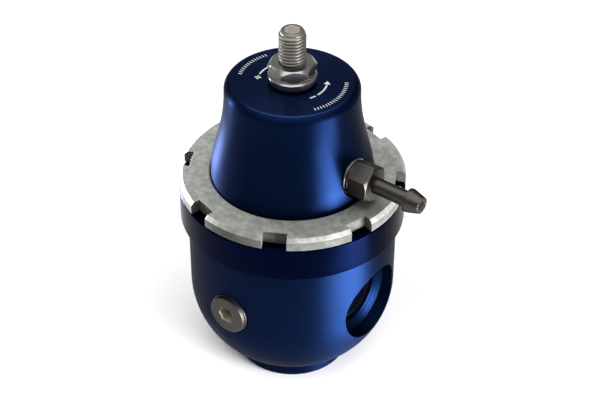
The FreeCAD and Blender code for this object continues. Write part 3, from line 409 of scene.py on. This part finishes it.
def grown(name, tree, values, place=Matrix.Identity(4), sharp=30):
    """The mesh that a geometry tree grows, baked and put in its place, as a new object."""
    seed = bpy.data.objects.new(name + "_seed", bpy.data.meshes.new(name + "_seed"))
    bpy.context.scene.collection.objects.link(seed)
    growth = seed.modifiers.new("growth", "NODES")
    growth.node_group = tree
    identifiers = {item.name: item.identifier for item in tree.interface.items_tree
                   if item.in_out == "INPUT"}
    for label, value in values.items():
        growth[identifiers[label]] = value
    view = bpy.context.evaluated_depsgraph_get()
    mesh = bpy.data.meshes.new_from_object(seed.evaluated_get(view))
    seed.modifiers.remove(growth)
    bpy.data.objects.remove(seed)
    mesh.name = name
    mesh.transform(place)
    return solid_object(name, mesh, sharp)


side_thread_start, return_thread_start = 0.0128, 0.0137
quarter = math.pi / 2
# The thread crests are painted pale: a painted highlight
crest_highlight_blue = turned_metal(
    "worn_blue_thread", colour=(0.003, 0.008, 0.03), edge_wear_and_highlight=(0.12, 0.14, 0.26),
    roughness=0.35, duller=0.05, edge_share=1.0, edge_radius=0.00008)
# In a port the ridge points towards the axis, so its depth is negative
port_tooth = {"Root Radius": 0.009525, "Depth": -0.00082, "Pitch": 0.0254 / 16,
              "Turns": 7.0, "Root Width": 0.00138, "Crest Width": 0.0002, "Run Out": 0.5,
              "Finish": crest_highlight_blue}
for name, start, turn in (
        ("inlet_port_thread", (side_thread_start, 0, port_level),
         Matrix.Rotation(quarter, 4, "Y")),
        ("second_port_thread", (-side_thread_start, 0, port_level),
         Matrix.Rotation(-quarter, 4, "Y")),
        ("return_port_thread", (0, 0, return_thread_start),
         Matrix.Rotation(math.pi, 4, "X"))):
    thread = grown(name, thread_ridge, port_tooth, Matrix.Translation(start) @ turn)
    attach(thread, "root")


# The cap is turned and anodised like the bowl. White ink on its flat top shows which way
# the screw raises and lowers the pressure, with two arcs of tick marks near the edge.

dress("cap", blue)

ink, tree, shader = new_material("white_ink")
place = node(tree, "ShaderNodeTexCoord")
grain = node(tree, "ShaderNodeTexNoise", {"Vector": place.outputs["Object"], "Scale": 3500.0})
worn = node(tree, "ShaderNodeMapRange",
            {"Value": grain.outputs["Fac"], "From Min": 0.3, "From Max": 0.7,
             "To Min": 0.5, "To Max": 0.72})
feed(shader, {"Base Color": worn.outputs[0], "Roughness": 0.55})

cap_top, ink_depth = 0.1004, 0.00003

# Tick marks stand across an arc round the screw, evenly spaced
tick_arc, entry, leave = new_group(
    "tick_arc", "GeometryNodeTree",
    [("Radius", "Float"), ("Start", "Float"), ("Sweep", "Float"), ("Count", "Int"),
     ("Tick Size", "Vector"), ("Finish", "Material")],
    [("Ticks", "Geometry")])
arc = node(tick_arc, "GeometryNodeCurveArc",
           {"Resolution": entry.outputs["Count"], "Radius": entry.outputs["Radius"],
            "Start Angle": entry.outputs["Start"], "Sweep Angle": entry.outputs["Sweep"]})
spots = node(tick_arc, "GeometryNodeCurveToPoints",
             {"Curve": arc.outputs[0], "Count": entry.outputs["Count"]}, mode="COUNT")
tick = node(tick_arc, "GeometryNodeMeshCube", {"Size": entry.outputs["Tick Size"]})
spin = node(tick_arc, "FunctionNodeAlignRotationToVector",
            {"Vector": spots.outputs["Tangent"]}, axis="Y", pivot_axis="Z")
laid = node(tick_arc, "GeometryNodeInstanceOnPoints",
            {"Points": spots.outputs[0], "Instance": tick.outputs[0],
             "Rotation": spin.outputs[0]})
end_growth(tick_arc, entry, leave, laid)

tick_radius, tick_length, tick_width = 0.0156, 0.0011, 0.00028
for name, start, sweep_angle, count in (("right_tick_marks", -29, 62, 19),
                                        ("left_tick_marks", 157, 46, 14)):
    ticks = grown(name, tick_arc,
                  {"Radius": tick_radius, "Start": math.radians(start),
                   "Sweep": math.radians(sweep_angle), "Count": count,
                   "Tick Size": (tick_length, tick_width, ink_depth), "Finish": ink},
                  Matrix.Translation((0, 0, cap_top + ink_depth / 2)))
    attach(ticks, "root")

# Inside them, a curved arrow runs each way round the screw, from a minus and from a plus
arrow_radius, arrow_steps = 0.0101, 12
line_width, head_width, bar_length = 0.0005, 0.0020, 0.0019
minus_at, plus_at = -18, 206


def on_circle(radius, degrees):
    """A point on the cap's top, on a circle round the screw."""
    angle = math.radians(degrees)
    return radius * math.cos(angle), radius * math.sin(angle)


def printed(name, outlines):
    """Flat outlines laid on the cap's top as one thin layer of ink."""
    shape = bmesh.new()
    for outline in outlines:
        corners = [shape.verts.new((x, y, cap_top)) for x, y in outline]
        face = shape.faces.new(corners)
        lifted = bmesh.ops.extrude_face_region(shape, geom=[face])
        top = [item for item in lifted["geom"] if isinstance(item, bmesh.types.BMVert)]
        bmesh.ops.translate(shape, verts=top, vec=(0, 0, ink_depth))
    mesh = bpy.data.meshes.new(name)
    shape.to_mesh(mesh)
    shape.free()
    mesh.materials.append(ink)
    made = solid_object(name, mesh)
    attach(made, "root")


def curved_arrow(start, end, head):
    """Outlines of an arc of ink, in small steps, and of the arrow head at its end."""
    inner, outer = arrow_radius - line_width / 2, arrow_radius + line_width / 2
    outlines = []
    for index in range(arrow_steps):
        here = start + (end - start) * index / arrow_steps
        there = start + (end - start) * (index + 1) / arrow_steps
        outlines.append([on_circle(inner, here), on_circle(outer, here),
                         on_circle(outer, there), on_circle(inner, there)])
    outlines.append([on_circle(arrow_radius - head_width / 2, end),
                     on_circle(arrow_radius + head_width / 2, end),
                     on_circle(arrow_radius, end + head)])
    return outlines


def bar(place, degrees):
    """Outline of one bar of a minus or plus, turned by an angle about its own middle."""
    middle = Vector(on_circle(arrow_radius, place))
    along = Vector(on_circle(bar_length / 2, degrees))
    across = Vector(on_circle(line_width / 2, degrees + 90))
    return [tuple(middle - along - across), tuple(middle + along - across),
            tuple(middle + along + across), tuple(middle - along + across)]


printed("lower_pressure_mark",
        curved_arrow(start=-8, end=27, head=9) + [bar(minus_at, minus_at + 90)])
printed("raise_pressure_mark",
        curved_arrow(start=196, end=161, head=-9)
        + [bar(plus_at, plus_at - 90), bar(plus_at, plus_at - 180)])


# The lock ring is turned from bare aluminium, notched for a hook spanner and tumbled, which
# leaves its faces mottled grey. It screws into the bowl and clamps the cap.

tumbled = turned_metal(
    "tumbled_aluminium", colour=(0.36, 0.37, 0.345), edge_wear_and_highlight=(0.4, 0.4, 0.375),
    roughness=0.64, duller=0.1, groove=0.000002, edge_share=0.6, edge_radius=0.0002)
tree = tumbled.node_tree
shader = tree.nodes["Principled BSDF"]
plain = shader.inputs["Base Color"].links[0].from_socket
fair = shader.inputs["Roughness"].links[0].from_socket
place = node(tree, "ShaderNodeTexCoord").outputs["Object"]
speck = node(tree, "ShaderNodeTexNoise",
             {"Vector": place, "Scale": 2200.0, "Detail": 6.0, "Roughness": 0.8})
blot = node(tree, "ShaderNodeTexNoise", {"Vector": place, "Scale": 560.0, "Detail": 3.0})
mottle = maths(tree, "MULTIPLY", speck.outputs["Fac"], blot.outputs["Fac"])
level = node(tree, "ShaderNodeMapRange",
             {"Value": mottle, "From Min": 0.15, "From Max": 0.38, "To Min": 0.78,
              "To Max": 1.24})
shade = node(tree, "ShaderNodeVectorMath", {0: plain, "Scale": level.outputs[0]},
             operation="SCALE")

# The rim and the notches took less of the tumbling and are more matt; their colour is
# darkened as painted shade
rim_slope, rim_painted_shade, rim_roughness = 0.4, 0.38, 0.16
lie = node(tree, "ShaderNodeNewGeometry")
slope = node(tree, "ShaderNodeSeparateXYZ", {0: lie.outputs["True Normal"]})
level_part = maths(tree, "ABSOLUTE", slope.outputs[2])
upright_part = maths(tree, "LESS_THAN", level_part, rim_slope)
painted_rim_darkening = node(tree, "ShaderNodeMapRange",
              {"Value": upright_part, "To Min": 1.0, "To Max": rim_painted_shade})
# Painted shade on the rim and the notches
dimmed = node(tree, "ShaderNodeVectorMath", {0: shade.outputs[0], "Scale": painted_rim_darkening.outputs[0]},
              operation="SCALE")
matter = maths(tree, "MULTIPLY_ADD", upright_part, rim_roughness, fair)
feed(shader, {"Base Color": dimmed.outputs[0], "Roughness": matter})
dress("lock_ring", tumbled)


# The adjusting screw is a stainless set screw, 24 turns of rolled thread to the inch over
# its whole length, with a cone point below and a hexagon socket in its rounded top.

screw_low, screw_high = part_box("adjuster_screw")
screw_foot, screw_top = screw_low.z, screw_high.z
screw_radius, screw_core = 0.00397, 0.00342
screw_pitch, screw_turns = 0.0254 / 24, 29.5
thread_gap = 0.0006
root_sink = 0.00001
cone_flat = 0.001
crown = 0.0004
socket_flats, socket_depth = 0.004, 0.004
socket_turn = math.radians(6.7)
bevel_width, bevel_depth = 0.00015, 0.0001
drill_point = 0.0006
points_round = 96
rolled = turned_metal(
    "rolled_stainless", colour=(0.19, 0.18, 0.165), edge_wear_and_highlight=(0.3, 0.29, 0.27),
    roughness=0.38, spacing=0.0002, edge_share=0.6, edge_radius=0.0001,
    # The socket is painted pale: dust, and painted light inside it
    recess={"radius": 0.0025, "mouth": screw_top, "dust_and_painted_light": (0.72, 0.67, 0.59)})


def socket_reach(angle):
    """Distance from the axis to the hexagon socket's wall."""
    sector = (angle - socket_turn) % (math.pi / 3) - math.pi / 6
    return socket_flats / 2 / math.cos(sector)


core_rings = [
    (lambda angle: cone_flat, screw_foot),
    (lambda angle: screw_core, screw_foot + screw_core - cone_flat),
    (lambda angle: screw_core, screw_top - crown),
    (lambda angle: screw_core - crown / 2, screw_top - crown / 4),
    (lambda angle: screw_core - crown, screw_top),
    (lambda angle: socket_reach(angle) + bevel_width, screw_top),
    (socket_reach, screw_top - bevel_depth),
    (socket_reach, screw_top - socket_depth),
]
core_points, core_faces = [(0, 0, screw_foot)], []
for reach, height in core_rings:
    for index in range(points_round):
        angle = 2 * math.pi * index / points_round
        core_points.append((reach(angle) * math.cos(angle), reach(angle) * math.sin(angle),
                            height))
core_points.append((0, 0, screw_top - socket_depth - drill_point))
last = len(core_points) - 1
top_row = 1 + (len(core_rings) - 1) * points_round
for index in range(points_round):
    beside = (index + 1) % points_round
    core_faces.append((0, 1 + beside, 1 + index))
    for row in range(len(core_rings) - 1):
        low, high = 1 + row * points_round, 1 + (row + 1) * points_round
        core_faces.append((low + index, low + beside, high + beside, high + index))
    core_faces.append((top_row + index, top_row + beside, last))
core_mesh = bpy.data.meshes.new("screw_core")
core_mesh.from_pydata(core_points, [], core_faces)
core_mesh.materials.append(rolled)
core = solid_object("screw_core", core_mesh)
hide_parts("adjuster_screw")
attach(core, "adjuster")

screw_thread = grown(
    "screw_thread", thread_ridge,
    {"Root Radius": screw_core - root_sink, "Depth": screw_radius - screw_core,
     "Pitch": screw_pitch, "Turns": screw_turns, "Root Width": 0.00096,
     "Crest Width": 0.0002, "Run Out": 0.7, "Finish": rolled},
    Matrix.Translation((0, 0, screw_top - thread_gap - screw_turns * screw_pitch)))
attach(screw_thread, "adjuster")


# The lock nut is a stainless hexagon with a round collar. Tightened on the cap over a
# rubber sealing washer, it holds the screw where it was set.

stainless = turned_metal(
    "stainless_steel", colour=(0.33, 0.32, 0.3), edge_wear_and_highlight=(0.52, 0.5, 0.475),
    roughness=0.24, duller=0.04, groove=0.0000005, edge_share=0.6, edge_radius=0.0001)
dress("lock_nut", stainless)

rubber, tree, shader = new_material("black_rubber")
place = node(tree, "ShaderNodeTexCoord")
skin = node(tree, "ShaderNodeTexNoise",
            {"Vector": place.outputs["Object"], "Scale": 1500.0, "Detail": 3.0}).outputs["Fac"]
tone = node(tree, "ShaderNodeMapRange", {"Value": skin, "To Min": 0.012, "To Max": 0.03})
matt = node(tree, "ShaderNodeMapRange", {"Value": skin, "To Min": 0.5, "To Max": 0.75})
pores = node(tree, "ShaderNodeBump", {"Height": skin, "Distance": 0.00001})
feed(shader, {"Base Color": tone.outputs[0], "Roughness": matt.outputs[0],
              "Normal": pores.outputs[0]})
dress("nut_seal", rubber)


# The hose barb is turned from hexagon steel and nickel plated a dull grey. It screws into
# the cap's side and seals on a thin bare washer.

barb_level = 0.0765
barb_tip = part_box("hose_barb")[1].x
plated = turned_metal(
    "plated_steel", colour=(0.062, 0.058, 0.054), edge_wear_and_highlight=(0.42, 0.4, 0.375),
    roughness=0.3, turn=(0, -quarter, 0), middle=(barb_level, 0, 0), spacing=0.0002,
    edge_share=0.6, edge_radius=0.0001, tint=(0.34, 0.335, 0.33),
    # The bore is painted paler: dust, and painted light inside it
    recess={"radius": 0.00175, "mouth": barb_tip, "dust_and_painted_light": (0.19, 0.16, 0.13)})
dress("hose_barb", plated)
dress("barb_seal", stainless)


# The gauge plug closes the gauge port. It is plated steel like the barb, with a hexagon
# socket, and seals on a thin washer.

plug_level = 0.0337
plug_face = -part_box("gauge_plug")[0].y
plug_steel = turned_metal(
    "plug_steel", colour=(0.043, 0.040, 0.037), edge_wear_and_highlight=(0.09, 0.086, 0.08),
    roughness=0.38, turn=(-quarter, 0, 0), middle=(0, -plug_level, 0), spacing=0.0002,
    edge_share=0.6, edge_radius=0.0001,
    # The socket is painted paler: dust, and painted light inside it
    recess={"radius": 0.00295, "mouth": plug_face, "dust_and_painted_light": (0.34, 0.28, 0.22)})
dress("gauge_plug", plug_steel)
dress("gauge_seal", plug_steel)


# The main spring is wound from round spring steel wire, with closed ends ground flat. It
# presses the spring cup down and bears against the perch under the screw.

spring_steel = turned_metal(
    "spring_steel", colour=(0.16, 0.155, 0.15), edge_wear_and_highlight=(0.3, 0.29, 0.28),
    roughness=0.35, groove=0.000001)

spring_low, spring_high = 0.0577, 0.0835
coil_points, wire_sides = 361, 20
coil_spring, entry, leave = new_group(
    "coil_spring", "GeometryNodeTree",
    [("Radius", "Float"), ("Wire Radius", "Float"), ("Bottom", "Float"), ("Top", "Float"),
     ("Closed Rise", "Float"), ("Turns", "Float"), ("Closed Share", "Float"),
     ("Finish", "Material")],
    [("Spring", "Geometry")])
line = node(coil_spring, "GeometryNodeMeshLine", {"Count": coil_points, "Offset": (0, 0, 1)})
path = node(coil_spring, "GeometryNodeMeshToCurve", {0: line.outputs[0]})
along = node(coil_spring, "GeometryNodeSplineParameter").outputs["Factor"]

# The wire rises slowly in the closed turn at each end, and steeply between them
late = maths(coil_spring, "SUBTRACT", 1.0, entry.outputs["Closed Share"])
first_rise = node(coil_spring, "ShaderNodeMapRange",
                  {"Value": along, "From Max": entry.outputs["Closed Share"],
                   "To Max": entry.outputs["Closed Rise"]})
last_rise = node(coil_spring, "ShaderNodeMapRange",
                 {"Value": along, "From Min": late, "To Max": entry.outputs["Closed Rise"]})
whole = maths(coil_spring, "SUBTRACT", entry.outputs["Top"], entry.outputs["Bottom"])
less_wire = maths(coil_spring, "MULTIPLY_ADD", entry.outputs["Wire Radius"], -2.0, whole)
open_rise = maths(coil_spring, "MULTIPLY_ADD", entry.outputs["Closed Rise"], -2.0, less_wire)
middle_rise = node(coil_spring, "ShaderNodeMapRange",
                   {"Value": along, "From Min": entry.outputs["Closed Share"],
                    "From Max": late, "To Max": open_rise})
closed = maths(coil_spring, "ADD", first_rise.outputs[0], last_rise.outputs[0])
risen = maths(coil_spring, "ADD", closed, middle_rise.outputs[0])
lowest = maths(coil_spring, "ADD", entry.outputs["Bottom"], entry.outputs["Wire Radius"])
height = maths(coil_spring, "ADD", risen, lowest)
turned = maths(coil_spring, "MULTIPLY", along, entry.outputs["Turns"])
angle = maths(coil_spring, "MULTIPLY", turned, 2 * math.pi)
cosine = maths(coil_spring, "COSINE", angle)
sine = maths(coil_spring, "SINE", angle)
spot = node(coil_spring, "ShaderNodeCombineXYZ",
            {0: maths(coil_spring, "MULTIPLY", cosine, entry.outputs["Radius"]),
             1: maths(coil_spring, "MULTIPLY", sine, entry.outputs["Radius"]), 2: height})
wound = node(coil_spring, "GeometryNodeSetPosition",
             {"Geometry": path.outputs[0], "Position": spot.outputs[0]})
wire = node(coil_spring, "GeometryNodeCurvePrimitiveCircle",
            {"Resolution": wire_sides, "Radius": entry.outputs["Wire Radius"]})
swept = node(coil_spring, "GeometryNodeCurveToMesh",
             {"Curve": wound.outputs[0], "Profile Curve": wire.outputs[0], "Fill Caps": True})

# Both ends are ground flat: nothing passes the bottom or the top
here = node(coil_spring, "GeometryNodeInputPosition")
parts = node(coil_spring, "ShaderNodeSeparateXYZ", {0: here.outputs[0]})
ground = node(coil_spring, "ShaderNodeClamp",
              {"Value": parts.outputs[2], "Min": entry.outputs["Bottom"],
               "Max": entry.outputs["Top"]})
flattened = node(coil_spring, "ShaderNodeCombineXYZ",
                 {0: parts.outputs[0], 1: parts.outputs[1], 2: ground.outputs[0]})
faced = node(coil_spring, "GeometryNodeSetPosition",
             {"Geometry": swept.outputs[0], "Position": flattened.outputs[0]})
end_growth(coil_spring, entry, leave, faced)

spring = grown("coil_of_main_spring", coil_spring,
               {"Radius": 0.012, "Wire Radius": 0.0016, "Bottom": spring_low,
                "Top": spring_high, "Closed Rise": 0.0033, "Turns": 5.0,
                "Closed Share": 0.2, "Finish": spring_steel}, sharp=50)
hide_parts("main_spring")
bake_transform(spring)


# The metal parts inside are turned, and zinc plated or stainless: the perch under the
# screw, the spring cup, its nut, the valve's holder and seat. A small spring and a wire
# clip keep the polished ball in its socket.

zinc = turned_metal(
    "zinc_plated_steel", colour=(0.42, 0.41, 0.36), edge_wear_and_highlight=(0.6, 0.59, 0.55),
    roughness=0.33, duller=0.12)
for name in ("spring_perch", "spring_cup", "stem_nut", "valve_holder"):
    dress(name, zinc)
for name in ("valve_seat", "ball_clip"):
    dress(name, stainless)
ball_steel = turned_metal(
    "ball_steel", colour=(0.55, 0.54, 0.52), edge_wear_and_highlight=(0.55, 0.54, 0.52),
    roughness=0.08, groove=0.0000002, duller=0.03)
dress("valve_ball", ball_steel)
dress("ball_spring", spring_steel)


# The diaphragm is moulded from fabric-backed rubber, with one rolled fold that lets the
# valve rise. The O-ring under the valve seat is plain rubber.

weave_scale = 300.0
coated, tree, shader = new_material("fabric_backed_rubber")
place = node(tree, "ShaderNodeTexCoord")
warp, weft = (node(tree, "ShaderNodeTexWave",
                   {"Vector": place.outputs["Object"], "Scale": weave_scale},
                   bands_direction=direction).outputs["Fac"] for direction in "XY")
weave = maths(tree, "MULTIPLY", warp, weft)
tone = node(tree, "ShaderNodeMapRange", {"Value": weave, "To Min": 0.018, "To Max": 0.04})
ribs = node(tree, "ShaderNodeBump", {"Height": weave, "Distance": 0.00003})
feed(shader, {"Base Color": tone.outputs[0], "Roughness": 0.6, "Normal": ribs.outputs[0]})
dress("diaphragm", coated)
dress("seat_o_ring", rubber)
